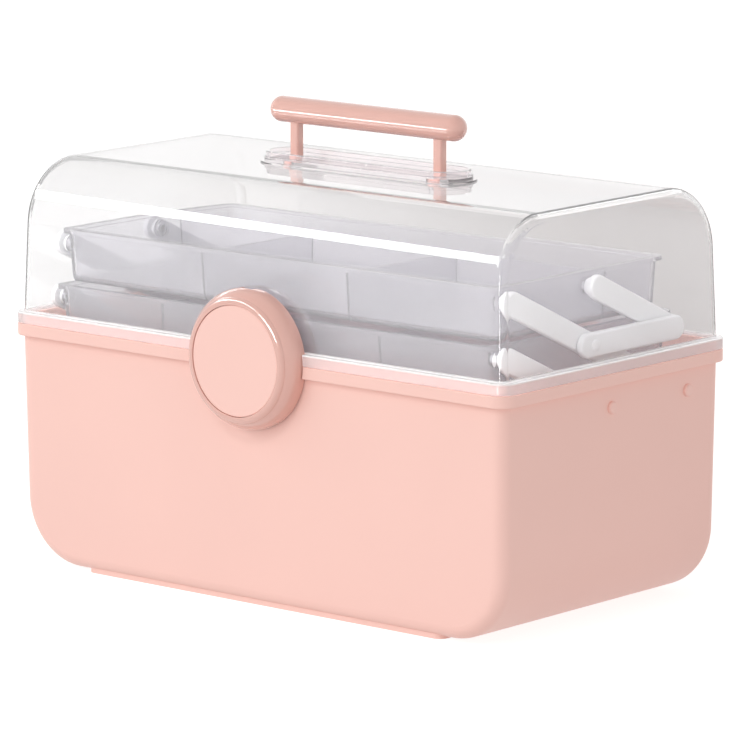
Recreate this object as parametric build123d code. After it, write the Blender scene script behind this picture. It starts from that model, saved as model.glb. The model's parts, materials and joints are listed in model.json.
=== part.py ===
"""Makeup storage case: a tub with a clear hinged lid, a round front latch, a push-down
carrying handle, and two clear trays that rise on arms at both ends.

Frame: X across the case, Y from front to back, Z up. The origin is on the table, under
the middle of the tub. Lengths are in millimetres and angles in degrees.
"""
from build123d import *
import os
from math import cos, radians, sin, tan

# ---- case: overall sizes over the rim flanges
CASE_WIDTH = 340.0
CASE_DEPTH = 185.5
BASE_HEIGHT = 131.0            # table to the parting line
LID_HEIGHT = 87.0              # parting line to the flat top of the lid
FLANGE_CORNER_R = 9.5
FLANGE_EDGE_R = 0.7
PART_GAP = 0.05                # rim of the lid above the rim of the tub

# ---- tub
BASE_WALL = 2.2
BASE_DRAFT = 0.75
BASE_CORNER_R = 36.0           # large lower corners, seen from the front
BASE_EDGE_R = 7.0
BASE_FLANGE_HEIGHT = 6.5
BASE_OVERHANG = 3.25
FOOT_HEIGHT = 1.6
FOOT_LENGTH = 246.0
FOOT_INSET = 3.0               # from the lower front edge of the tub
FOOT_CORNER_R = 5.0

# ---- locating lip of the tub, inside the lid
LIP_WALL = 1.6
LIP_HEIGHT = 4.8
LIP_CLEARANCE = 0.4
LIP_SHELF = 5.0                # depth of the shelf that carries the lip

# ---- lid
LID_WALL = 2.0
LID_DRAFT = 1.83
LID_ARC_R = 34.0               # front and rear arcs, seen from the end
LID_EDGE_R = 5.0
LID_FLANGE_HEIGHT = 6.2
LID_OVERHANG = 3.7

# ---- rear hinges
HINGE_CENTRE_X = 95.0
HINGE_LENGTH = 46.0
LID_KNUCKLE_LENGTH = 19.4
KNUCKLE_R = 3.9
KNUCKLE_GAP = 0.3
HINGE_PIN_R = 1.5
PIN_HEAD_HEIGHT = 1.0
PIN_HEAD_RIM = 1.0             # head radius beyond the pin
PIN_CLEARANCE = 0.05           # radial, every pin in its hole

# ---- handle pad on the lid
HANDLE_Y = 2.0                 # the handle stands a little behind the middle
PAD_LENGTH = 133.4             # over the top rim
PAD_HALF_WIDTH = 13.5
PAD_HEIGHT = 6.0
PAD_WALL = 1.9
PAD_RECESS_DEPTH = 4.0
PAD_FLOOR = 2.0
PAD_STEP = 0.9                 # lower tier of the pad, beyond the top rim
PAD_STEP_DROP = 2.6            # top of the pad to the lower tier
PAD_SKIRT = 3.0                # thin ring around the foot of the pad
PAD_SKIRT_HEIGHT = 0.9

# ---- handle
BAR_R = 7.0
BAR_LENGTH = 131.5
BAR_RISE = 27.6                # lid top to the axis of the bar, pulled up
POST_SPACING = 98.6
POST_SIZE = 5.6
POST_EDGE_R = 1.3
POST_SOCKET = 3.0              # depth of the post in the bar
POST_CLEARANCE = 0.25          # each side, in the guide holes
SOCKET_CLEARANCE = 0.02
STOP_LENGTH = 12.0
STOP_WIDTH = 9.0
STOP_HEIGHT = 2.0
STOP_GAP = 0.3
SCREW_R = 1.1
SCREW_DEPTH = 8.0
SCREW_HEAD_R = 2.2
SCREW_HEAD_HEIGHT = 1.2

# ---- round latch
LATCH_R = 37.0
LATCH_BACK_GAP = 0.4           # tub wall to the back edge of the latch
LATCH_DEPTH = 13.2
LATCH_WALL = 2.4
LATCH_RING_WALL = 3.0
LATCH_BEAD_R = 30.4            # flat front of the bead around the disc
LATCH_CREASE = (33.0, 2.1)     # radius and depth of the crease outside the bead
LATCH_SLOPE_DEPTH = 10.5       # depth where the broad slope reaches the full radius
DISC_R = 29.0
DISC_THICKNESS = 2.2
DISC_GAP = 0.15
DISC_RECESS = 0.35             # face of the disc behind the ring
DISC_EDGE_R = 0.5
LATCH_NOTCH_GAP = 0.6          # rim flanges around the latch
LATCH_PIN_R = 1.2
LATCH_PIN_LENGTH = 26.0
LATCH_PIN_DROP = 4.5           # top of the latch to its pin
LATCH_PIN_STANDOFF = 4.9       # lid wall to the pin
LATCH_KNUCKLE_R = 2.3
LATCH_LUG_LENGTH = 8.0
LATCH_KNUCKLE_GAP = 0.3
CATCH_WIDTH = 20.0
CATCH_HEIGHT = 3.0
CATCH_REACH = 2.5              # catch out of the tub wall
CATCH_DROP = 12.0              # parting line to the top of the catch
HOOK_WIDTH = 16.0
HOOK_HEIGHT = 3.5
HOOK_GAP = 0.5
HOOK_OVERLAP = 1.2

# ---- lifting arms and tie bars, at each end of the trays
ARM_ANGLE = 25.2               # rise of the closed arms towards the front
ARM_THICKNESS = 3.6
ARM_HALF_WIDTH = 6.4
ARM_EDGE_R = 1.2
LONG_ARM_LENGTH = 141.0        # tub pivot to upper tray pivot
LOWER_ARM_LENGTH = 75.0        # tub pivot to lower tray pivot
LAYER_GAP = 0.4                # between a tie bar and the arms behind it
SIDE_GAP = 3.4                 # locating lip to the tie bars
HUB_THICKNESS = 3.0            # white hubs between the trays and the arms
HUB_R = 4.4
HUB_GAP = 0.2
TRAY_GAP = 1.6                 # tray rims to the arms
FRONT_PIVOT_Y = -2.5           # short arm on the tub
REAR_PIVOT_Y = 60.5            # long arm on the tub
PIVOT_DROP = 18.2              # parting line to the tub pivots
TIE_LENGTH = 68.0              # between the two pivots of a tie bar
TIE_NOSE = 4.6                 # tie bar in front of its front pivot
PIVOT_R = 2.0
PIVOT_HEAD_R = 3.2
PIVOT_HEAD_HEIGHT = 0.9         # inner head
RIVET_DOME_HEIGHT = 1.8        # outer head, on the tub wall
PIVOT_SKIN = 1.2               # plastic over the blind end of a pivot
BOSS_R = 4.6
TRAY_BOSS_DEPTH = 0.6          # boss inside the end wall of a tray

# ---- trays
TRAY_WALL = 1.8
TRAY_FLOOR = 1.8
TRAY_DRAFT = 4.0
TRAY_RIM = 2.4
TRAY_RIM_HEIGHT = 2.0
TRAY_EDGE_R = 3.0
TRAY_RIM_RISE = 7.2            # lower tray: pivot to rim
LOWER_TRAY_DEPTH = 34.5
LOWER_TRAY_FRONT = -79.0
LOWER_TRAY_REAR = 70.0
LOWER_TRAY_CORNER_R = 4.0
UPPER_TRAY_RIM_RISE = 8.5      # upper tray: pivot to rim
UPPER_TRAY_DEPTH = 28.4
UPPER_TRAY_FRONT = -75.0
UPPER_TRAY_REAR = 63.0
UPPER_TRAY_CORNER_R = 5.0
DIVIDER_WALL = 1.4
DIVIDER_DROP = 3.0             # below the rim
LOWER_DIVIDERS = 3             # walls from front to back, evenly spaced
UPPER_DIVIDERS = 2             # the same, in front of the lengthwise wall
UPPER_LONG_WALL_Y = 16.0       # lengthwise wall, with the brush bay behind it

# ---- places worked out from the sizes above
LID_TOP = BASE_HEIGHT + LID_HEIGHT
BASE_HALF_W = CASE_WIDTH / 2 - BASE_OVERHANG
BASE_HALF_D = CASE_DEPTH / 2 - BASE_OVERHANG
LID_HALF_W = CASE_WIDTH / 2 - LID_OVERHANG
LID_HALF_D = CASE_DEPTH / 2 - LID_OVERHANG
LIP_HALF_W = LID_HALF_W - LID_WALL - LIP_CLEARANCE
LIP_HALF_D = LID_HALF_D - LID_WALL - LIP_CLEARANCE
HINGE_Y = CASE_DEPTH / 2 + KNUCKLE_R + KNUCKLE_GAP
TIE_OUTER_X = LIP_HALF_W - LIP_WALL - SIDE_GAP
TIE_INNER_X = TIE_OUTER_X - ARM_THICKNESS
ARM_OUTER_X = TIE_INNER_X - LAYER_GAP
ARM_INNER_X = ARM_OUTER_X - ARM_THICKNESS
HUB_X = ARM_INNER_X - HUB_GAP - HUB_THICKNESS
TRAY_RIM_X = ARM_INNER_X - TRAY_GAP
PIVOT_Z = BASE_HEIGHT - PIVOT_DROP
ARM_STEP = (-cos(radians(ARM_ANGLE)), sin(radians(ARM_ANGLE)))
SIDES = {"left": -1, "right": 1}


def arm_point(pivot, length):
    """The (y, z) point at a length along a closed arm from its tub pivot."""
    return (pivot[0] + length * ARM_STEP[0], pivot[1] + length * ARM_STEP[1])


SHORT_BASE = (FRONT_PIVOT_Y, PIVOT_Z)
LONG_BASE = (REAR_PIVOT_Y, PIVOT_Z)
SHORT_TRAY = arm_point(SHORT_BASE, LOWER_ARM_LENGTH)
LONG_TRAY = arm_point(LONG_BASE, LOWER_ARM_LENGTH)
LONG_TOP = arm_point(LONG_BASE, LONG_ARM_LENGTH)
TIE_REAR = (LONG_TRAY[0] + TIE_LENGTH, LONG_TRAY[1])
UPPER_TOP = (LONG_TOP[0] + TIE_LENGTH, LONG_TOP[1])
LOWER_RIM_Z = SHORT_TRAY[1] + TRAY_RIM_RISE
UPPER_RIM_Z = LONG_TOP[1] + UPPER_TRAY_RIM_RISE


# ---------------------------------------------------------------- shared shapes
def drafted_block(profile, cross, half_profile, half_cross, z_open, z_closed, corner_r,
                  edge_r, draft):
    """A closed block that narrows from z_open to z_closed, with large corners in one
    view and small rounds along its two end faces."""
    narrowing = abs(z_closed - z_open) * tan(radians(draft))

    def outline(half):
        return [(-half, z_open), (half, z_open), (half - narrowing, z_closed),
                (-half + narrowing, z_closed)]

    face = make_face(Polyline(*outline(half_profile), close=True))
    closed_corners = [v for v in face.vertices() if abs(v.Y - z_closed) < 0.01]
    face = fillet(closed_corners, corner_r)
    along = extrude(profile * face, amount=half_cross, both=True)
    across = extrude(cross * make_face(Polyline(*outline(half_cross), close=True)),
                     amount=half_profile + corner_r, both=True)
    block = along & across
    axis = Axis.Y if profile == Plane.XZ else Axis.X
    ends = (block.faces().sort_by(axis)[0], block.faces().sort_by(axis)[-1])
    rounds = [e for end in ends for e in end.edges() if abs(e.center().Z - z_open) > 1.0]
    return fillet(rounds, edge_r)


def plate(width, depth, corner_r, z_low, z_high, centre=(0.0, 0.0)):
    """A flat plate with round corners between two heights."""
    outline = Pos(centre[0], centre[1], z_low) * RectangleRounded(width, depth, corner_r)
    return extrude(outline, amount=z_high - z_low)


def racetrack(length, half_width, z_low, z_high):
    """A plate with half-round ends, along X, under the handle."""
    outline = Pos(0, HANDLE_Y, z_low) * SlotOverall(length, 2 * half_width)
    return extrude(outline, amount=z_high - z_low)


def x_rod(radius, x_low, x_high, y, z):
    """A round rod along X."""
    middle = (x_low + x_high) / 2
    return Pos(middle, y, z) * Rot(0, 90, 0) * Cylinder(radius, x_high - x_low)


def y_rod(radius, y_low, y_high, z):
    """A round rod along Y, on the centre plane of the case."""
    middle = (y_low + y_high) / 2
    return Pos(0, middle, z) * Rot(90, 0, 0) * Cylinder(radius, y_high - y_low)


def block_between(x, y, z):
    """A box from three (low, high) pairs."""
    size = [high - low for low, high in (x, y, z)]
    middle = [(high + low) / 2 for low, high in (x, y, z)]
    return Pos(*middle) * Box(*size)


def on_side(shape, side):
    """The shape modelled at the right end, or its mirror image at the left end."""
    return shape if side > 0 else mirror(shape, about=Plane.YZ)


def save(node, shape):
    """Write one node to its own file."""
    os.makedirs("parts", exist_ok=True)
    export_step(shape, os.path.join("parts", node + ".step"))


# ---------------------------------------------------------------- tub and lid
def base_block(inset, z_closed, z_top):
    """The tub's outer form, or its cavity when inset by the wall."""
    spread = (z_top - BASE_HEIGHT + BASE_FLANGE_HEIGHT) * tan(radians(BASE_DRAFT))
    return drafted_block(Plane.XZ, Plane.YZ, BASE_HALF_W - inset + spread,
                         BASE_HALF_D - inset + spread, z_top, z_closed,
                         BASE_CORNER_R - inset, BASE_EDGE_R - inset, BASE_DRAFT)


def lid_block(inset, z_top):
    """The lid's outer form, or its hollow when inset by the wall."""
    return drafted_block(Plane.YZ, Plane.XZ, LID_HALF_D - inset, LID_HALF_W - inset,
                         BASE_HEIGHT, z_top, LID_ARC_R - inset, LID_EDGE_R - inset,
                         LID_DRAFT)


def flange(z_low, z_high):
    """The band around the rim, with its outer edges eased."""
    band = plate(CASE_WIDTH, CASE_DEPTH, FLANGE_CORNER_R, z_low, z_high)
    return fillet(band.edges().filter_by(Plane.XY), FLANGE_EDGE_R)


def latch_axis_y():
    """Y of the latch pin, a stand-off in front of the drafted lid wall."""
    pin_rise = LATCH_R - LATCH_PIN_DROP
    return -(LID_HALF_D - pin_rise * tan(radians(LID_DRAFT))) - LATCH_PIN_STANDOFF


LATCH_PIN_Y = latch_axis_y()
LATCH_PIN_Z = BASE_HEIGHT + LATCH_R - LATCH_PIN_DROP
LATCH_BACK_Y = -BASE_HALF_D - LATCH_BACK_GAP
LATCH_FRONT_Y = LATCH_BACK_Y - LATCH_DEPTH


def latch_clearance():
    """What the flanges leave free around the latch."""
    return y_rod(LATCH_R + LATCH_NOTCH_GAP, LATCH_FRONT_Y, -BASE_HALF_D, BASE_HEIGHT)


def knuckle(centre_x, length, rises):
    """One hinge knuckle with the web that joins it to a rim flange."""
    x = (centre_x - length / 2, centre_x + length / 2)
    web_y = (CASE_DEPTH / 2 - FLANGE_EDGE_R, HINGE_Y)
    if rises:
        web_z = (BASE_HEIGHT + KNUCKLE_GAP + FLANGE_EDGE_R, BASE_HEIGHT + KNUCKLE_R)
    else:
        web_z = (BASE_HEIGHT - KNUCKLE_R, BASE_HEIGHT - KNUCKLE_GAP - FLANGE_EDGE_R)
    barrel = x_rod(KNUCKLE_R, *x, HINGE_Y, BASE_HEIGHT)
    return barrel + block_between(x, web_y, web_z)


def hinge_bores():
    """The bores through both hinges."""
    bores = Part()
    for side in SIDES.values():
        middle = side * HINGE_CENTRE_X
        bores += x_rod(HINGE_PIN_R + PIN_CLEARANCE, middle - HINGE_LENGTH / 2,
                       middle + HINGE_LENGTH / 2, HINGE_Y, BASE_HEIGHT)
    return bores


def locating_lip():
    """The lip that stands inside the lid, on a shelf inside the tub."""
    inner = (2 * (LIP_HALF_W - LIP_WALL), 2 * (LIP_HALF_D - LIP_WALL))
    shelf_half_w = BASE_HALF_W - BASE_WALL / 2
    shelf_half_d = BASE_HALF_D - BASE_WALL / 2
    corner_r = LID_EDGE_R - LID_WALL + LIP_CLEARANCE
    shelf = plate(2 * shelf_half_w, 2 * shelf_half_d, BASE_EDGE_R - BASE_WALL / 2,
                  BASE_HEIGHT - LIP_SHELF, BASE_HEIGHT)
    lip = plate(2 * LIP_HALF_W, 2 * LIP_HALF_D, corner_r + LIP_WALL / 2, BASE_HEIGHT,
                BASE_HEIGHT + LIP_HEIGHT)
    opening = plate(*inner, corner_r, BASE_HEIGHT - LIP_SHELF, BASE_HEIGHT + LIP_HEIGHT)
    return shelf + lip - opening


def base_shell():
    """The pink tub with its rim flange, foot, lip, pivot bosses, knuckles and catch."""
    outer = base_block(0.0, FOOT_HEIGHT, BASE_HEIGHT)
    cavity = base_block(BASE_WALL, FOOT_HEIGHT + BASE_WALL, BASE_HEIGHT)
    foot_half_d = (BASE_HALF_D - FOOT_INSET
                   - (BASE_HEIGHT - BASE_FLANGE_HEIGHT) * tan(radians(BASE_DRAFT)))
    foot = plate(FOOT_LENGTH, 2 * foot_half_d, FOOT_CORNER_R, 0.0, FOOT_HEIGHT + BASE_WALL / 2)
    rim = flange(BASE_HEIGHT - BASE_FLANGE_HEIGHT, BASE_HEIGHT) - latch_clearance()
    shell = outer + rim + foot - cavity + locating_lip()
    knuckle_length = (HINGE_LENGTH - LID_KNUCKLE_LENGTH) / 2 - KNUCKLE_GAP
    knuckle_offset = (HINGE_LENGTH - knuckle_length) / 2
    for side in SIDES.values():
        for end in (-1, 1):
            shell += knuckle(side * HINGE_CENTRE_X + end * knuckle_offset, knuckle_length, False)
    catch_top = BASE_HEIGHT - CATCH_DROP
    shell += block_between((-CATCH_WIDTH / 2, CATCH_WIDTH / 2),
                           (-BASE_HALF_D - CATCH_REACH, -BASE_HALF_D + BASE_WALL / 2),
                           (catch_top - CATCH_HEIGHT, catch_top))
    shell -= hinge_bores()
    for y, z in (SHORT_BASE, LONG_BASE):
        boss = x_rod(BOSS_R, ARM_OUTER_X + LAYER_GAP, BASE_HALF_W - BASE_WALL / 2, y, z)
        bore = x_rod(PIVOT_R + PIN_CLEARANCE, ARM_OUTER_X, CASE_WIDTH / 2, y, z)
        for side in SIDES.values():
            shell = shell + on_side(boss, side) - on_side(bore, side)
    return shell


def handle_guides():
    """The two holes in the pad for the posts."""
    size = POST_SIZE + 2 * POST_CLEARANCE
    guides = Part()
    for side in SIDES.values():
        guides += plate(size, size, POST_EDGE_R + POST_CLEARANCE, LID_TOP - LID_WALL,
                        LID_TOP + PAD_HEIGHT, (side * POST_SPACING / 2, HANDLE_Y))
    return guides


def lid_pad():
    """The raised pad for the handle, with a recess that takes the pushed-down bar."""
    top = LID_TOP + PAD_HEIGHT
    pad = racetrack(PAD_LENGTH, PAD_HALF_WIDTH, LID_TOP - LID_WALL, top)
    rim_edges = pad.edges().filter_by(Plane.XY).group_by(Axis.Z)[-1]
    pad = fillet(rim_edges, PAD_WALL / 3)
    tier = racetrack(PAD_LENGTH + 2 * PAD_STEP, PAD_HALF_WIDTH + PAD_STEP,
                     LID_TOP - LID_WALL / 2, top - PAD_STEP_DROP)
    tier = fillet(tier.edges().filter_by(Plane.XY).group_by(Axis.Z)[-1], PAD_STEP / 2)
    skirt = racetrack(PAD_LENGTH + 2 * PAD_SKIRT, PAD_HALF_WIDTH + PAD_SKIRT,
                      LID_TOP - LID_WALL / 2, LID_TOP + PAD_SKIRT_HEIGHT)
    recess = racetrack(PAD_LENGTH - 2 * PAD_WALL, PAD_HALF_WIDTH - PAD_WALL,
                       top - PAD_RECESS_DEPTH, top)
    return pad + tier + skirt - recess


def pad_pocket():
    """The hollow under the pad, where the stops sit."""
    return racetrack(PAD_LENGTH - 2 * PAD_WALL, PAD_HALF_WIDTH - PAD_WALL,
                     LID_TOP - 2 * LID_WALL,
                     LID_TOP + PAD_HEIGHT - PAD_RECESS_DEPTH - PAD_FLOOR)


def latch_lug():
    """The lug on the front of the lid that the latch hangs from."""
    x = (-LATCH_LUG_LENGTH / 2, LATCH_LUG_LENGTH / 2)
    wall_y = -LID_HALF_D + LID_WALL
    barrel = x_rod(LATCH_KNUCKLE_R, *x, LATCH_PIN_Y, LATCH_PIN_Z)
    web = block_between(x, (LATCH_PIN_Y, wall_y),
                        (LATCH_PIN_Z - LATCH_KNUCKLE_R, LATCH_PIN_Z + LATCH_KNUCKLE_R / 2))
    bore = x_rod(LATCH_PIN_R + PIN_CLEARANCE, *x, LATCH_PIN_Y, LATCH_PIN_Z)
    return barrel + web - bore


def lid_shell():
    """The clear lid with its flange, handle pad, hinge knuckles and latch lug."""
    outer = lid_block(0.0, LID_TOP)
    hollow = lid_block(LID_WALL, LID_TOP - LID_WALL)
    rim = flange(BASE_HEIGHT + PART_GAP, BASE_HEIGHT + LID_FLANGE_HEIGHT) - latch_clearance()
    below = block_between((-CASE_WIDTH, CASE_WIDTH), (-CASE_DEPTH, CASE_DEPTH),
                          (0.0, BASE_HEIGHT + PART_GAP))
    shell = outer + rim + lid_pad() + latch_lug() - hollow - pad_pocket() - handle_guides()
    shell -= below
    for side in SIDES.values():
        shell += knuckle(side * HINGE_CENTRE_X, LID_KNUCKLE_LENGTH, True)
    return shell - hinge_bores()


def hinge_pin(side):
    """A headed steel pin through one rear hinge."""
    low = side * HINGE_CENTRE_X - HINGE_LENGTH / 2
    high = low + HINGE_LENGTH
    pin = x_rod(HINGE_PIN_R, low, high, HINGE_Y, BASE_HEIGHT)
    for start in (low - PIN_HEAD_HEIGHT, high):
        pin += x_rod(HINGE_PIN_R + PIN_HEAD_RIM, start, start + PIN_HEAD_HEIGHT,
                     HINGE_Y, BASE_HEIGHT)
    return pin


def base_pivot(y, z):
    """A rivet through the tub wall and the foot of an arm, at the right end."""
    head_drop = PIVOT_DROP - BASE_FLANGE_HEIGHT - PIVOT_HEAD_R
    wall_x = BASE_HALF_W - head_drop * tan(radians(BASE_DRAFT))
    inner_x = ARM_INNER_X - HUB_GAP
    head = x_rod(PIVOT_HEAD_R, wall_x, wall_x + RIVET_DOME_HEIGHT, y, z)
    head = fillet(head.edges().sort_by(Axis.X)[-1], 2 * RIVET_DOME_HEIGHT / 3)
    shaft = x_rod(PIVOT_R, inner_x, wall_x, y, z)
    return head + shaft + x_rod(PIVOT_HEAD_R, inner_x - PIVOT_HEAD_HEIGHT, inner_x, y, z)


# ---------------------------------------------------------------- handle
BAR_Z = LID_TOP + BAR_RISE
POST_TOP = BAR_Z - BAR_R + POST_SOCKET
STOP_TOP = LID_TOP + PAD_HEIGHT - PAD_RECESS_DEPTH - PAD_FLOOR - STOP_GAP


def handle_post(side):
    """One square post, from its stop up into the bar."""
    post = plate(POST_SIZE, POST_SIZE, POST_EDGE_R, STOP_TOP, POST_TOP,
                 (side * POST_SPACING / 2, HANDLE_Y))
    screw_hole = Cylinder(SCREW_R + PIN_CLEARANCE, 2 * SCREW_DEPTH)
    return post - Pos(side * POST_SPACING / 2, HANDLE_Y, STOP_TOP) * screw_hole


def handle_bar():
    """The round grip with domed ends and a socket for each post."""
    dome_x = BAR_LENGTH / 2 - BAR_R
    bar = x_rod(BAR_R, -dome_x, dome_x, HANDLE_Y, BAR_Z)
    socket = POST_SIZE + 2 * SOCKET_CLEARANCE
    for side in SIDES.values():
        bar += Pos(side * dome_x, HANDLE_Y, BAR_Z) * Sphere(BAR_R)
        bar -= plate(socket, socket, POST_EDGE_R, BAR_Z - 2 * BAR_R, POST_TOP + SOCKET_CLEARANCE,
                     (side * POST_SPACING / 2, HANDLE_Y))
    return bar


def handle_stop(side):
    """The plate under the pad that keeps a post in its guide."""
    stop = plate(STOP_LENGTH, STOP_WIDTH, POST_EDGE_R, STOP_TOP - STOP_HEIGHT, STOP_TOP,
                 (side * POST_SPACING / 2, HANDLE_Y))
    hole = Pos(side * POST_SPACING / 2, HANDLE_Y, STOP_TOP) * Cylinder(SCREW_R + PIN_CLEARANCE, 3 * STOP_HEIGHT)
    return stop - hole


def stop_screw(side):
    """The screw that holds a stop to its post."""
    x = side * POST_SPACING / 2
    bottom = STOP_TOP - STOP_HEIGHT
    shank_length = STOP_HEIGHT + SCREW_DEPTH - 1.0
    shank = Pos(x, HANDLE_Y, bottom + shank_length / 2) * Cylinder(SCREW_R, shank_length)
    head = Pos(x, HANDLE_Y, bottom - SCREW_HEAD_HEIGHT / 2) * Cylinder(SCREW_HEAD_R, SCREW_HEAD_HEIGHT)
    return shank + head


# ---------------------------------------------------------------- latch
def latch_form():
    """The latch's outer form: a bead around the disc, a crease, and a broad slope."""
    crease = (LATCH_CREASE[0], LATCH_FRONT_Y + LATCH_CREASE[1])
    shoulder = (LATCH_R, LATCH_FRONT_Y + LATCH_SLOPE_DEPTH)
    edges = [Line((0, LATCH_FRONT_Y), (LATCH_BEAD_R, LATCH_FRONT_Y)),
             TangentArc((LATCH_BEAD_R, LATCH_FRONT_Y), crease, tangent=(1, 0)),
             TangentArc(shoulder, crease, tangent=(0, -1)),
             Polyline(shoulder, (LATCH_R, LATCH_BACK_Y), (0, LATCH_BACK_Y), (0, LATCH_FRONT_Y))]
    return Pos(0, 0, BASE_HEIGHT) * revolve(make_face(edges), Axis.Y)


def latch_body():
    """The round cup with a disc recess in front, a hook below and knuckles above."""
    solid = cup = latch_form()
    recess_y = LATCH_FRONT_Y + DISC_RECESS + DISC_THICKNESS
    web_y = recess_y + LATCH_WALL
    cup -= y_rod(DISC_R + DISC_GAP, LATCH_FRONT_Y, recess_y, BASE_HEIGHT)
    cup -= y_rod(LATCH_R - LATCH_RING_WALL, web_y, LATCH_BACK_Y, BASE_HEIGHT)
    pin_half = LATCH_PIN_LENGTH / 2
    knuckle_in = LATCH_LUG_LENGTH / 2 + LATCH_KNUCKLE_GAP
    for side in SIDES.values():
        x = sorted((side * knuckle_in, side * (pin_half + PIN_HEAD_HEIGHT)))
        ear = x_rod(LATCH_KNUCKLE_R, *x, LATCH_PIN_Y, LATCH_PIN_Z)
        ear += block_between(x, (web_y - LATCH_WALL / 2, LATCH_PIN_Y),
                             (LATCH_PIN_Z - LATCH_KNUCKLE_R, LATCH_PIN_Z + LATCH_KNUCKLE_R))
        cup += ear & solid
    hook_top = BASE_HEIGHT - CATCH_DROP - CATCH_HEIGHT - HOOK_GAP
    hook_back = -BASE_HALF_D - CATCH_REACH + HOOK_OVERLAP
    cup += block_between((-HOOK_WIDTH / 2, HOOK_WIDTH / 2), (web_y - LATCH_WALL / 2, hook_back),
                         (hook_top - HOOK_HEIGHT, hook_top))
    lug_room = x_rod(LATCH_KNUCKLE_R + LATCH_KNUCKLE_GAP, -knuckle_in, knuckle_in,
                     LATCH_PIN_Y, LATCH_PIN_Z)
    bore = x_rod(LATCH_PIN_R + PIN_CLEARANCE, -pin_half, pin_half, LATCH_PIN_Y, LATCH_PIN_Z)
    swing_r = LATCH_PIN_STANDOFF - LATCH_KNUCKLE_GAP
    above_pin = block_between((-LATCH_R, LATCH_R), (LATCH_PIN_Y, LATCH_BACK_Y + LATCH_WALL),
                              (LATCH_PIN_Z, LATCH_PIN_Z + LATCH_R))
    swing_relief = above_pin - x_rod(swing_r, -LATCH_R, LATCH_R, LATCH_PIN_Y, LATCH_PIN_Z)
    web_room = block_between((-knuckle_in, knuckle_in), (LATCH_PIN_Y - LATCH_PIN_R, LATCH_BACK_Y),
                             (LATCH_PIN_Z, LATCH_PIN_Z + LATCH_R))
    return cup - lug_room - bore - swing_relief - web_room


def latch_face_disc():
    """The flat inset disc on the front of the latch."""
    front = LATCH_FRONT_Y + DISC_RECESS
    disc = y_rod(DISC_R, front, front + DISC_THICKNESS, BASE_HEIGHT)
    return fillet(disc.edges().group_by(Axis.Y)[0], DISC_EDGE_R)


def latch_pin():
    """The pin that the latch swings on."""
    return x_rod(LATCH_PIN_R, -LATCH_PIN_LENGTH / 2, LATCH_PIN_LENGTH / 2, LATCH_PIN_Y, LATCH_PIN_Z)


# ---------------------------------------------------------------- arms
def flat_bar(start, end, inner_x):
    """A bar with round ends between two (y, z) pivots, at the right end of the case."""
    length = ((end[0] - start[0]) ** 2 + (end[1] - start[1]) ** 2) ** 0.5
    middle = ((start[0] + end[0]) / 2, (start[1] + end[1]) / 2)
    plane = Plane(origin=(inner_x, middle[0], middle[1]),
                  x_dir=(0, end[0] - start[0], end[1] - start[1]), z_dir=(1, 0, 0))
    bar = extrude(plane * SlotCenterToCenter(length, 2 * ARM_HALF_WIDTH), amount=ARM_THICKNESS)
    bar = fillet(bar.edges().group_by(Axis.X)[-1], ARM_EDGE_R)
    return fillet(bar.edges().group_by(Axis.X)[0], ARM_EDGE_R / 2)


def through_hole(point):
    """A pivot hole through the arm layer."""
    return x_rod(PIVOT_R + PIN_CLEARANCE, ARM_INNER_X - ARM_THICKNESS, ARM_OUTER_X + LAYER_GAP / 2,
                 *point)


def blind_hole(point, outer_x):
    """A pivot hole that stops under the outer face of a bar."""
    return x_rod(PIVOT_R + PIN_CLEARANCE, ARM_INNER_X - ARM_THICKNESS, outer_x - PIVOT_SKIN, *point)


def long_arm():
    """From the tub past the lower tray to the upper tray."""
    arm = flat_bar(LONG_BASE, LONG_TOP, ARM_INNER_X)
    return (arm - through_hole(LONG_BASE) - through_hole(LONG_TRAY)
            - blind_hole(LONG_TOP, ARM_OUTER_X))


def short_arm():
    """From the tub to the front of the lower tray."""
    arm = flat_bar(SHORT_BASE, SHORT_TRAY, ARM_INNER_X)
    return arm - through_hole(SHORT_BASE) - blind_hole(SHORT_TRAY, ARM_OUTER_X)


def upper_arm():
    """From the rear of the tie bar to the rear of the upper tray."""
    arm = flat_bar(TIE_REAR, UPPER_TOP, ARM_INNER_X)
    return arm - through_hole(TIE_REAR) - blind_hole(UPPER_TOP, ARM_OUTER_X)


def tie_bar():
    """The outer bar on the lower tray that holds the two middle pivots."""
    bar = flat_bar((LONG_TRAY[0] - TIE_NOSE, LONG_TRAY[1]), TIE_REAR, TIE_INNER_X)
    return bar - blind_hole(LONG_TRAY, TIE_OUTER_X) - blind_hole(TIE_REAR, TIE_OUTER_X)


# ---------------------------------------------------------------- trays
def tray_wall_x(rim_z, z):
    """Outer face of a tray's drafted end wall at a height."""
    return TRAY_RIM_X - TRAY_RIM - (rim_z - z) * tan(radians(TRAY_DRAFT))


def tray_boss_x(rim_z, point):
    """Inner end of the blind boss in a tray's end wall."""
    return tray_wall_x(rim_z, point[1]) - TRAY_WALL - TRAY_BOSS_DEPTH


def pivot_stud(point, rim_z, outer_x):
    """A stud from the blind boss of a tray to under the face of a bar."""
    return x_rod(PIVOT_R, tray_boss_x(rim_z, point) + PIVOT_SKIN,
                 outer_x - PIVOT_SKIN - LAYER_GAP, *point)


def hub(point):
    """The white hub between a tray and an arm, stepped down next to the arm."""
    middle = HUB_X + 2 * HUB_THICKNESS / 3
    ring = x_rod(HUB_R, HUB_X, middle, *point)
    ring = fillet(ring.edges().sort_by(Axis.X)[-1], HUB_THICKNESS / 5)
    ring += x_rod((HUB_R + PIVOT_R) / 2, middle, HUB_X + HUB_THICKNESS, *point)
    return ring - x_rod(PIVOT_R + PIN_CLEARANCE, HUB_X, HUB_X + HUB_THICKNESS, *point)


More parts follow.
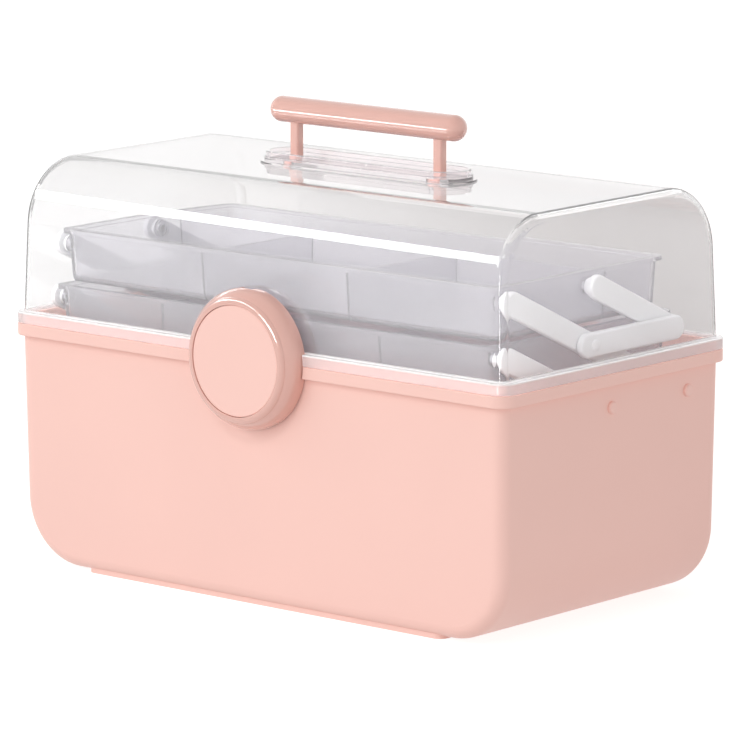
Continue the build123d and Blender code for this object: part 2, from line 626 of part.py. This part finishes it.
def tray(rim_z, depth, front, rear, corner_r, pivots, dividers, long_wall_y):
    """An open tray with a rolled rim, dividers and a boss at each pivot."""
    centre = (0.0, (front + rear) / 2)
    length = 2 * TRAY_RIM_X
    width = rear - front

    def drafted(inset, radius, z_top, z_low):
        sketch = RectangleRounded(length - 2 * inset, width - 2 * inset, radius)
        top = Pos(*centre, z_top) * sketch
        block = extrude(top, amount=z_top - z_low, dir=(0, 0, -1), taper=TRAY_DRAFT)
        return fillet(block.edges().group_by(Axis.Z)[0], TRAY_EDGE_R)

    outer = drafted(TRAY_RIM, corner_r, rim_z, rim_z - depth)
    hollow = drafted(TRAY_RIM + TRAY_WALL, corner_r, rim_z, rim_z - depth + TRAY_FLOOR)
    rim = plate(length, width, corner_r + TRAY_RIM / 2, rim_z - TRAY_RIM_HEIGHT, rim_z, centre)
    walls = Part()
    divider_rear = rear if long_wall_y is None else long_wall_y
    wall_z = (rim_z - depth, rim_z - DIVIDER_DROP)
    for index in range(dividers):
        x = -length / 2 + (index + 1) * length / (dividers + 1)
        walls += block_between((x - DIVIDER_WALL / 2, x + DIVIDER_WALL / 2),
                               (front, divider_rear), wall_z)
    if long_wall_y is not None:
        walls += block_between((-length / 2, length / 2),
                               (long_wall_y - DIVIDER_WALL / 2, long_wall_y + DIVIDER_WALL / 2),
                               wall_z)
    body = outer + rim - hollow + (walls & outer)
    for point in pivots:
        start = tray_boss_x(rim_z, point)
        boss = x_rod(BOSS_R, start, HUB_X - HUB_GAP / 2, *point)
        bore = x_rod(PIVOT_R + PIN_CLEARANCE, start + PIVOT_SKIN, HUB_X, *point)
        for side in SIDES.values():
            body = body + on_side(boss, side) - on_side(bore, side)
    return body


LOWER_PIVOTS = (SHORT_TRAY, LONG_TRAY, TIE_REAR)
UPPER_PIVOTS = (LONG_TOP, UPPER_TOP)


def lower_tray():
    """The deep lower tray, with short dividers from front to back."""
    return tray(LOWER_RIM_Z, LOWER_TRAY_DEPTH, LOWER_TRAY_FRONT, LOWER_TRAY_REAR,
                LOWER_TRAY_CORNER_R, LOWER_PIVOTS, LOWER_DIVIDERS, None)


def upper_tray():
    """The upper tray, with a long bay for brushes at the rear."""
    return tray(UPPER_RIM_Z, UPPER_TRAY_DEPTH, UPPER_TRAY_FRONT, UPPER_TRAY_REAR,
                UPPER_TRAY_CORNER_R, UPPER_PIVOTS, UPPER_DIVIDERS, UPPER_LONG_WALL_Y)


# ---------------------------------------------------------------- every node
save("base_shell", base_shell())
save("lid_shell", lid_shell())
save("handle_bar", handle_bar())
save("handle_stop_screws", Compound(children=[stop_screw(s) for s in SIDES.values()]))
save("latch_body", latch_body())
save("latch_face_disc", latch_face_disc())
save("latch_pin", latch_pin())
save("lower_tray", lower_tray())
save("upper_tray", upper_tray())
for name, side in SIDES.items():
    save("hinge_pin_" + name, hinge_pin(side))
    save("handle_post_" + name, handle_post(side))
    save("handle_stop_" + name, handle_stop(side))
    save("long_arm_" + name, on_side(long_arm(), side))
    save("short_arm_" + name, on_side(short_arm(), side))
    save("upper_arm_" + name, on_side(upper_arm(), side))
    save("tie_bar_" + name, on_side(tie_bar(), side))
    rivets = [base_pivot(*SHORT_BASE), base_pivot(*LONG_BASE)]
    save("base_pivots_" + name, Compound(children=[on_side(r, side) for r in rivets]))
    studs = [pivot_stud(SHORT_TRAY, LOWER_RIM_Z, ARM_OUTER_X),
             pivot_stud(LONG_TRAY, LOWER_RIM_Z, TIE_OUTER_X),
             pivot_stud(TIE_REAR, LOWER_RIM_Z, TIE_OUTER_X)]
    save("lower_tray_pivots_" + name, Compound(children=[on_side(s, side) for s in studs]))
    studs = [pivot_stud(point, UPPER_RIM_Z, ARM_OUTER_X) for point in UPPER_PIVOTS]
    save("upper_tray_pivots_" + name, Compound(children=[on_side(s, side) for s in studs]))
    rings = [hub(point) for point in LOWER_PIVOTS]
    save("lower_tray_hubs_" + name, Compound(children=[on_side(r, side) for r in rings]))
    rings = [hub(point) for point in UPPER_PIVOTS]
    save("upper_tray_hubs_" + name, Compound(children=[on_side(r, side) for r in rings]))
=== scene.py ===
"""Looks for the makeup storage case: materials, studio, floor and the photograph's camera."""
import json
import math

import bmesh
import bpy
from mathutils import Matrix, Vector


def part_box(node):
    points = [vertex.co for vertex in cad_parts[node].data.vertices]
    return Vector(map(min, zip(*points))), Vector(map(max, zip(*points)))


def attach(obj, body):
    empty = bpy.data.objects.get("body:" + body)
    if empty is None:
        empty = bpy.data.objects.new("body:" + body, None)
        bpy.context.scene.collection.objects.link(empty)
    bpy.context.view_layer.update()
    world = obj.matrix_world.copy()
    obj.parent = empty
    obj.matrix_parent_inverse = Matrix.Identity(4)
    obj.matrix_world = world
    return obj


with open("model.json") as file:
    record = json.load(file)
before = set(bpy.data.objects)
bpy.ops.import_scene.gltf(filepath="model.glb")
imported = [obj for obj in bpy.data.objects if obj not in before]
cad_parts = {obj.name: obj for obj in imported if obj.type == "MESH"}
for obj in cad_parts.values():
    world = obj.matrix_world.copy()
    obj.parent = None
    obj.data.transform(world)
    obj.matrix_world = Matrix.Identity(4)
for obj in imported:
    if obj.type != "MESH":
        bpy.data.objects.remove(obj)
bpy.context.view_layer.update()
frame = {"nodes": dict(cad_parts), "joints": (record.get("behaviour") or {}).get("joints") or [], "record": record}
NODES = frame["nodes"]
JOINTS = {joint["name"]: joint for joint in frame["joints"]}

# ---- camera, fitted to the photograph
FOCAL_PX = 5458.5
PICTURE_PX = 740.0
SENSOR_MM = 36.0
CAMERA_AZIMUTH = math.radians(40.69)       # from the front towards the right
CAMERA_ELEVATION = math.radians(10.38)
CAMERA_ROLL = math.radians(-0.097)
CAMERA_AT = Vector((1.84437, -2.14468, 0.63104))
SHIFT_PX = (4.1, -1.6)
CLIP_END = 50.0


# ---------------------------------------------------------------- materials
COLOUR_SCALE = 9.0                 # of the slow variation in a base colour
COLOUR_NOISE_DETAIL = 2.0
COLOUR_RAMP = (0.35, 0.65)         # noise that gives the darkest and the lightest shade
ROUGH_NOISE_DETAIL = 4.0


class Shader:
    """A node material around one Principled shader, with helpers that add nodes."""

    def __init__(self, name):
        self.mat = bpy.data.materials.new(name)
        self.mat.use_nodes = True
        self.nodes = self.mat.node_tree.nodes
        self.links = self.mat.node_tree.links
        self.bsdf = self.nodes["Principled BSDF"]
        self.out = self.nodes["Material Output"]
        self.coords = self.nodes.new("ShaderNodeTexCoord")

    def put(self, **values):
        """Sets the shader's own sockets, such as Roughness or IOR."""
        for name, value in values.items():
            self.bsdf.inputs[name.replace("_", " ")].default_value = value
        return self

    def noise(self, scale, detail=3.0, stretch=None):
        """A noise factor in object space; stretch makes it longer along an axis."""
        node = self.nodes.new("ShaderNodeTexNoise")
        node.inputs["Scale"].default_value = scale
        node.inputs["Detail"].default_value = detail
        vector = self.coords.outputs["Object"]
        if stretch:
            mapping = self.nodes.new("ShaderNodeMapping")
            mapping.inputs["Scale"].default_value = stretch
            self.links.new(vector, mapping.inputs["Vector"])
            vector = mapping.outputs["Vector"]
        self.links.new(vector, node.inputs["Vector"])
        return node.outputs["Fac"]

    def ramp(self, factor, stops):
        """A colour ramp over a factor, from (position, colour) stops."""
        node = self.nodes.new("ShaderNodeValToRGB")
        elements = node.color_ramp.elements
        while len(elements) < len(stops):
            elements.new(0.5)
        for element, (position, colour) in zip(elements, stops):
            element.position = position
            element.color = (*colour, 1.0)
        self.links.new(factor, node.inputs["Fac"])
        return node.outputs["Color"]

    def colour(self, base, vary):
        """Base colour with a slow, faint variation, as in moulded plastic."""
        low = tuple(c * (1.0 - vary) for c in base)
        high = tuple(min(1.0, c * (1.0 + vary)) for c in base)
        shade = self.ramp(self.noise(COLOUR_SCALE, COLOUR_NOISE_DETAIL),
                          tuple(zip(COLOUR_RAMP, (low, high))))
        self.links.new(shade, self.bsdf.inputs["Base Color"])
        return self

    def rough(self, low, high, scale=60.0, stretch=None):
        """Roughness that drifts from low to high over the surface."""
        node = self.nodes.new("ShaderNodeMapRange")
        node.inputs["To Min"].default_value = low
        node.inputs["To Max"].default_value = high
        self.links.new(self.noise(scale, ROUGH_NOISE_DETAIL, stretch), node.inputs["Value"])
        self.links.new(node.outputs["Result"], self.bsdf.inputs["Roughness"])
        return self

    def bump(self, scale, distance, strength, stretch=None):
        """A fine relief, distance in metres."""
        node = self.nodes.new("ShaderNodeBump")
        node.inputs["Strength"].default_value = strength
        node.inputs["Distance"].default_value = distance
        self.links.new(self.noise(scale, stretch=stretch), node.inputs["Height"])
        self.links.new(node.outputs["Normal"], self.bsdf.inputs["Normal"])
        return self

    def by_height(self, stops):
        """Transmission and a tint that change with object-space height, from
        (metres, transmission, colour) stops."""
        low, high = stops[0][0], stops[-1][0]
        split = self.nodes.new("ShaderNodeSeparateXYZ")
        self.links.new(self.coords.outputs["Object"], split.inputs["Vector"])
        height = self.nodes.new("ShaderNodeMapRange")
        height.inputs["From Min"].default_value = low
        height.inputs["From Max"].default_value = high
        self.links.new(split.outputs["Z"], height.inputs["Value"])
        places = [(stop[0] - low) / (high - low) for stop in stops]
        clearness = self.ramp(height.outputs["Result"],
                              [(at, (stop[1],) * 3) for at, stop in zip(places, stops)])
        self.links.new(clearness, self.bsdf.inputs["Transmission Weight"])
        tint = self.ramp(height.outputs["Result"],
                         [(at, stop[2]) for at, stop in zip(places, stops)])
        mix = self.nodes.new("ShaderNodeMix")
        mix.data_type = "RGBA"
        mix.blend_type = "MULTIPLY"
        mix.inputs["Factor"].default_value = 1.0
        colours = [socket for socket in mix.inputs if socket.type == "RGBA"]
        self.links.new(self.bsdf.inputs["Base Color"].links[0].from_socket, colours[0])
        self.links.new(tint, colours[1])
        result = next(socket for socket in mix.outputs if socket.type == "RGBA")
        self.links.new(result, self.bsdf.inputs["Base Color"])
        return self

    def let_lamps_through(self, tint):
        """Lamps reach what is behind clear plastic, tinted as the plastic is."""
        path = self.nodes.new("ShaderNodeLightPath")
        clear = self.nodes.new("ShaderNodeBsdfTransparent")
        clear.inputs["Color"].default_value = (*tint, 1.0)
        mix = self.nodes.new("ShaderNodeMixShader")
        self.links.new(path.outputs["Is Shadow Ray"], mix.inputs["Fac"])
        self.links.new(self.bsdf.outputs["BSDF"], mix.inputs[1])
        self.links.new(clear.outputs["BSDF"], mix.inputs[2])
        self.links.new(mix.outputs["Shader"], self.out.inputs["Surface"])
        return self


def srgb(r, g, b):
    """A linear colour from 0..255 screen values."""
    def linear(v):
        v /= 255.0
        return v / 12.92 if v <= 0.04045 else ((v + 0.055) / 1.055) ** 2.4
    return (linear(r), linear(g), linear(b))


PINK = srgb(252, 207, 196)
PINK_DEEP = srgb(227, 175, 162)
WHITE = srgb(246, 247, 249)
CLEAR = srgb(254, 254, 254)
FROSTED = srgb(233, 232, 236)
STEEL = srgb(190, 190, 193)
CLEAR_TINT = srgb(252, 251, 251)
PAD_TINT = srgb(253, 248, 249)
RIM_TINT = srgb(252, 238, 237)
# white of the painted highlight along the lid flange's top edge
PAINTED_HIGHLIGHT_TINT = (1.0, 1.0, 1.0)
BRUSHED_ALONG_X = (0.05, 1.0, 1.0)

# the lid from its knuckles up: height in metres, how clear it is, and its tint, one band of which is a painted
# highlight
LID_BY_HEIGHT = (
    (0.1290, 0.95, CLEAR_TINT),
    (0.1300, 0.55, RIM_TINT),          # the flange is a little cloudy
    (0.1362, 0.55, RIM_TINT),
    (0.1367, 0.15, PAINTED_HIGHLIGHT_TINT),         # and a white line along its top edge, a painted highlight
    (0.1373, 0.15, PAINTED_HIGHLIGHT_TINT),
    (0.1380, 0.95, CLEAR_TINT),
    (0.2178, 0.95, CLEAR_TINT),
    (0.2184, 0.92, PAD_TINT),          # the handle pad
)

pink_satin = Shader("pink_satin_plastic").put(IOR=1.5)
pink_satin.colour(PINK, 0.012).rough(0.36, 0.46).bump(1400.0, 0.00004, 0.25)
pink_gloss = Shader("pink_gloss_plastic").put(IOR=1.5, Coat_Weight=1.0, Coat_Roughness=0.03)
pink_gloss.colour(PINK_DEEP, 0.015).rough(0.05, 0.09, 30.0).bump(120.0, 0.00002, 0.15)
clear = Shader("clear_plastic").put(IOR=1.49)
clear.colour(CLEAR, 0.004).rough(0.0, 0.03, 12.0).bump(18.0, 0.00006, 0.3)
clear.by_height(LID_BY_HEIGHT).let_lamps_through((0.97, 0.97, 0.975))
frosted = Shader("tray_plastic").put(IOR=1.46, Transmission_Weight=0.84)
frosted.colour(FROSTED, 0.01).rough(0.1, 0.18, 40.0).bump(400.0, 0.00003, 0.2)
frosted.let_lamps_through((0.92, 0.91, 0.93))
white = Shader("white_plastic").put(IOR=1.46)
white.colour(WHITE, 0.01).rough(0.3, 0.4).bump(900.0, 0.00003, 0.25)
steel = Shader("brushed_steel").put(Metallic=1.0)
steel.colour(STEEL, 0.05).rough(0.22, 0.38, 300.0, BRUSHED_ALONG_X)
steel.bump(900.0, 0.00001, 0.4, BRUSHED_ALONG_X)

SLOT_LOOKS = {"pink_satin": pink_satin, "pink_gloss": pink_gloss, "clear": clear,
              "frosted_clear": frosted, "white": white, "steel": steel}
for part in frame["record"]["subparts"]:
    look = SLOT_LOOKS[part["material_slot"]].mat
    mesh = NODES[part["node"]].data
    mesh.materials.clear()
    mesh.materials.append(look)


# ---------------------------------------------------------------- small fasteners
TIE_FACE_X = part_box("tie_bar_right")[1][0]     # outer face of a tie bar
_, TIE_PIVOT_Y, TIE_PIVOT_Z = JOINTS["lower_tray_pivot"]["pos_m"]
HEAD_RIM_R = 0.0031
HEAD_HEIGHT = 0.0009
HEAD_SINK = 0.0002                 # into the tie bar
HEAD_RIM_SHARE = 0.35              # upright rim, as a share of the height
HEAD_FLAT_SHARE = 0.25             # flat top, as a share of the radius
HEAD_STEPS = 6                     # over the dome
HEAD_SEGMENTS = 48                 # around the head
SAME_PLACE = 1e-6


def head_profile():
    """(radius, height) points of a low dome, from the rim to the flat top."""
    points = [(HEAD_RIM_R, -HEAD_SINK), (HEAD_RIM_R, HEAD_RIM_SHARE * HEAD_HEIGHT)]
    for step in range(1, HEAD_STEPS + 1):
        turn = math.radians(90.0 * step / HEAD_STEPS)
        across = HEAD_FLAT_SHARE + (1.0 - HEAD_FLAT_SHARE) * math.cos(turn)
        up = HEAD_RIM_SHARE + (1.0 - HEAD_RIM_SHARE) * math.sin(turn)
        points.append((HEAD_RIM_R * across, HEAD_HEIGHT * up))
    return points


def rivet_head(name, side):
    """A low domed head on the outer face of a tie bar, at its front pivot."""
    profile = head_profile()
    shape = bmesh.new()
    verts = [shape.verts.new((0.0, r, h)) for r, h in profile]
    edges = [shape.edges.new(pair) for pair in zip(verts, verts[1:])]
    bmesh.ops.spin(shape, geom=verts + edges, axis=(0.0, 0.0, 1.0), cent=(0.0, 0.0, 0.0),
                   angle=math.tau, steps=HEAD_SEGMENTS, use_duplicate=False)
    bmesh.ops.remove_doubles(shape, verts=shape.verts, dist=SAME_PLACE)
    for _, height in (profile[0], profile[-1]):
        ring = [v for v in shape.verts if abs(v.co.z - height) < SAME_PLACE]
        ring.sort(key=lambda v: math.atan2(v.co.y, v.co.x))
        shape.faces.new(ring)
    bmesh.ops.recalc_face_normals(shape, faces=shape.faces)
    turn_out = Matrix.Rotation(math.radians(90.0 * side), 4, "Y")
    place = Matrix.Translation((side * TIE_FACE_X, TIE_PIVOT_Y, TIE_PIVOT_Z))
    shape.transform(place @ turn_out)
    head_mesh = bpy.data.meshes.new(name)
    shape.to_mesh(head_mesh)
    shape.free()
    head_mesh.shade_smooth()
    head_mesh.materials.append(white.mat)
    head = bpy.data.objects.new(name, head_mesh)
    bpy.context.scene.collection.objects.link(head)
    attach(head, "lower_tray")


rivet_head("tie_rivet_left", -1)
rivet_head("tie_rivet_right", 1)


# ---------------------------------------------------------------- floor and sky
FLOOR_REACH = 12.0
FLOOR_DIFFUSE = 0.4
PAPER_FALL_WIDTH = 0.17            # the paper dims from left to right, as seen through the lid
PAPER_THROUGH = (0.75, 0.33)
PAPER_TINTS = ((0.0, (0.99, 1.0, 0.995)), (1.0, (1.0, 0.945, 0.93)))
SKY_GLOSS_HEIGHTS = (0.25, 0.7)    # what shows in gloss is brightest near the horizon
SKY_GLOSS = (1.2, 0.95)


def seen_strength(tree, lighting, camera, mirrored, through, inside):
    """A strength by kind of ray: what lights the case, what the camera sees straight on,
    what shows in gloss, what shows through clear plastic, and what lights the inside
    through it."""
    rays = tree.nodes.new("ShaderNodeLightPath")

    def either(usual, other, ray):
        mix = tree.nodes.new("ShaderNodeMix")
        for name, value in (("A", usual), ("B", other)):
            if isinstance(value, float):
                mix.inputs[name].default_value = value
            else:
                tree.links.new(value, mix.inputs[name])
        tree.links.new(rays.outputs[ray], mix.inputs["Factor"])
        return mix.outputs["Result"]

    outside = either(either(lighting, camera, "Is Camera Ray"), mirrored, "Is Glossy Ray")
    return either(outside, either(through, inside, "Diffuse Depth"), "Is Transmission Ray")


def map_range(tree, value, **limits):
    """A value mapped from From_Min..From_Max to To_Min..To_Max, each 0..1 unless given."""
    node = tree.nodes.new("ShaderNodeMapRange")
    for name, limit in limits.items():
        node.inputs[name.replace("_", " ")].default_value = limit
    tree.links.new(value, node.inputs["Value"])
    return node.outputs["Result"]


def floor_paper():
    """White paper: it glows for the camera, and lamps and shadows fall on it."""
    mat = bpy.data.materials.new("floor_paper")
    mat.use_nodes = True
    tree = mat.node_tree
    tree.nodes.remove(tree.nodes["Principled BSDF"])
    diffuse = tree.nodes.new("ShaderNodeBsdfDiffuse")
    diffuse.inputs["Color"].default_value = (FLOOR_DIFFUSE, FLOOR_DIFFUSE, FLOOR_DIFFUSE, 1.0)
    emission = tree.nodes.new("ShaderNodeEmission")
    coords = tree.nodes.new("ShaderNodeTexCoord")
    across = tree.nodes.new("ShaderNodeVectorMath")
    across.operation = "DOT_PRODUCT"
    across.inputs[1].default_value = (math.cos(CAMERA_AZIMUTH), math.sin(CAMERA_AZIMUTH), 0.0)
    tree.links.new(coords.outputs["Object"], across.inputs[0])
    share = map_range(tree, across.outputs["Value"],
                      From_Min=-PAPER_FALL_WIDTH, From_Max=PAPER_FALL_WIDTH)
    fall = map_range(tree, share, To_Min=PAPER_THROUGH[0], To_Max=PAPER_THROUGH[1])
    tint = tree.nodes.new("ShaderNodeValToRGB")
    for element, (position, colour) in zip(tint.color_ramp.elements, PAPER_TINTS):
        element.position = position
        element.color = (*colour, 1.0)
    tree.links.new(share, tint.inputs["Fac"])
    tree.links.new(tint.outputs["Color"], emission.inputs["Color"])
    strength = seen_strength(tree, lighting=0.32, camera=0.85, mirrored=0.9, through=fall,
                             inside=0.6)
    tree.links.new(strength, emission.inputs["Strength"])
    add = tree.nodes.new("ShaderNodeAddShader")
    tree.links.new(diffuse.outputs["BSDF"], add.inputs[0])
    tree.links.new(emission.outputs["Emission"], add.inputs[1])
    tree.links.new(add.outputs["Shader"], tree.nodes["Material Output"].inputs["Surface"])
    return mat


def studio_floor():
    """A wide flat sheet of the paper at height 0."""
    corners = [(-1, -1), (1, -1), (1, 1), (-1, 1)]
    floor_mesh = bpy.data.meshes.new("studio_floor")
    floor_mesh.from_pydata([(x * FLOOR_REACH, y * FLOOR_REACH, 0.0) for x, y in corners], [],
                           [(0, 1, 2, 3)])
    floor_mesh.materials.append(floor_paper())
    floor = bpy.data.objects.new("studio_floor", floor_mesh)
    bpy.context.scene.collection.objects.link(floor)


def studio_sky():
    """A white surround, with its own strength for each kind of ray."""
    world = bpy.data.worlds.new("studio_world")
    bpy.context.scene.world = world
    world.use_nodes = True
    tree = world.node_tree
    sky = tree.nodes["Background"]
    sky.inputs["Color"].default_value = (1.0, 1.0, 1.0, 1.0)
    coords = tree.nodes.new("ShaderNodeTexCoord")
    split = tree.nodes.new("ShaderNodeSeparateXYZ")
    tree.links.new(coords.outputs["Generated"], split.inputs["Vector"])
    gloss = map_range(tree, split.outputs["Z"],
                      From_Min=SKY_GLOSS_HEIGHTS[0], From_Max=SKY_GLOSS_HEIGHTS[1],
                      To_Min=SKY_GLOSS[0], To_Max=SKY_GLOSS[1])
    strength = seen_strength(tree, lighting=0.56, camera=1.0, mirrored=gloss, through=0.45,
                             inside=0.70)
    tree.links.new(strength, sky.inputs["Strength"])


studio_floor()
studio_sky()


# ---------------------------------------------------------------- lamps
CASE_MIDDLE_Z = 0.11
POST_NODES = ("handle_post_left", "handle_post_right")

# name, azimuth, elevation, distance, (width, height), watts
FILLS = (
    ("key_softbox", -50.0, 30.0, 2.3, (2.3, 0.40), 8.8),
    ("front_fill", -20.0, 8.0, 2.5, (3.0, 2.2), 24.0),
    ("right_fill", 76.0, 6.0, 2.5, (2.0, 1.4), 8.0),
    ("back_fill", 190.0, 12.0, 2.5, (3.0, 2.0), 8.0),
    ("top_fill", 12.0, 42.0, 2.0, (0.5, 0.16), 4.0),
)
# the same, then the height it faces and the nodes whose gloss shows it
GLINTS = (
    ("lid_band", -50.0, 30.0, 2.2, (2.2, 0.38), 34.0, CASE_MIDDLE_Z, ("lid_shell", "latch_body")),
    ("lid_side_edge", 166.0, 38.0, 2.2, (1.6, 0.9), 15.0, CASE_MIDDLE_Z, ("lid_shell",)),
    ("lid_corner_line", 27.0, 0.0, 0.7, (0.07, 0.30), 1.0, 0.16, ("lid_shell",)),
    ("latch_arc", -6.0, 16.0, 2.2, (1.1, 0.60), 40.0, CASE_MIDDLE_Z, ("latch_body",)),
    ("bar_line", -40.4, -8.1, 0.8, (0.55, 0.10), 1.8, 0.24, ("handle_bar",)),
    ("post_line", 16.0, -8.0, 0.7, (0.04, 0.24), 0.2, 0.22, POST_NODES),
)


def softbox(name, azimuth, elevation, distance, size, watts, faces_z=CASE_MIDDLE_Z, glint_on=()):
    """A rectangular lamp that faces the case; azimuth is from the front towards the right.
    It lights the case without a highlight, or is only a highlight in the gloss of some nodes."""
    data = bpy.data.lights.new(name, "AREA")
    data.shape = "RECTANGLE"
    data.size, data.size_y = size
    data.energy = watts
    a, e = math.radians(azimuth), math.radians(elevation)
    offset = Vector((math.sin(a) * math.cos(e), -math.cos(a) * math.cos(e), math.sin(e)))
    lamp = bpy.data.objects.new(name, data)
    lamp.location = Vector((0.0, 0.0, faces_z)) + offset * distance
    lamp.rotation_euler = offset.to_track_quat("Z", "Y").to_euler()
    lamp.visible_camera = False
    lamp.visible_glossy = bool(glint_on)
    lamp.visible_diffuse = lamp.visible_transmission = not glint_on
    if glint_on:
        shown_on = bpy.data.collections.new(name + "_shown_on")
        for node in glint_on:
            shown_on.objects.link(NODES[node])
        lamp.light_linking.receiver_collection = shown_on
    bpy.context.scene.collection.objects.link(lamp)


for settings in FILLS + GLINTS:
    softbox(*settings)


# ---------------------------------------------------------------- camera
def photo_camera():
    """The camera that took the photograph, as fitted to the case."""
    back = Vector((math.sin(CAMERA_AZIMUTH) * math.cos(CAMERA_ELEVATION),
                   -math.cos(CAMERA_AZIMUTH) * math.cos(CAMERA_ELEVATION),
                   math.sin(CAMERA_ELEVATION)))
    level = Vector((math.cos(CAMERA_AZIMUTH), math.sin(CAMERA_AZIMUTH), 0.0))
    upright = back.cross(level)
    right = level * math.cos(CAMERA_ROLL) + upright * math.sin(CAMERA_ROLL)
    up = upright * math.cos(CAMERA_ROLL) - level * math.sin(CAMERA_ROLL)
    data = bpy.data.cameras.new("photo_camera")
    data.sensor_width = SENSOR_MM
    data.lens = FOCAL_PX / PICTURE_PX * SENSOR_MM
    data.shift_x = SHIFT_PX[0] / PICTURE_PX
    data.shift_y = SHIFT_PX[1] / PICTURE_PX
    data.clip_end = CLIP_END
    camera = bpy.data.objects.new("photo_camera", data)
    axes = Matrix((right, up, back)).transposed().to_4x4()
    camera.matrix_world = Matrix.Translation(CAMERA_AT) @ axes
    bpy.context.scene.collection.objects.link(camera)
    bpy.context.scene.camera = camera


photo_camera()
bpy.context.scene.view_settings.view_transform = "Standard"
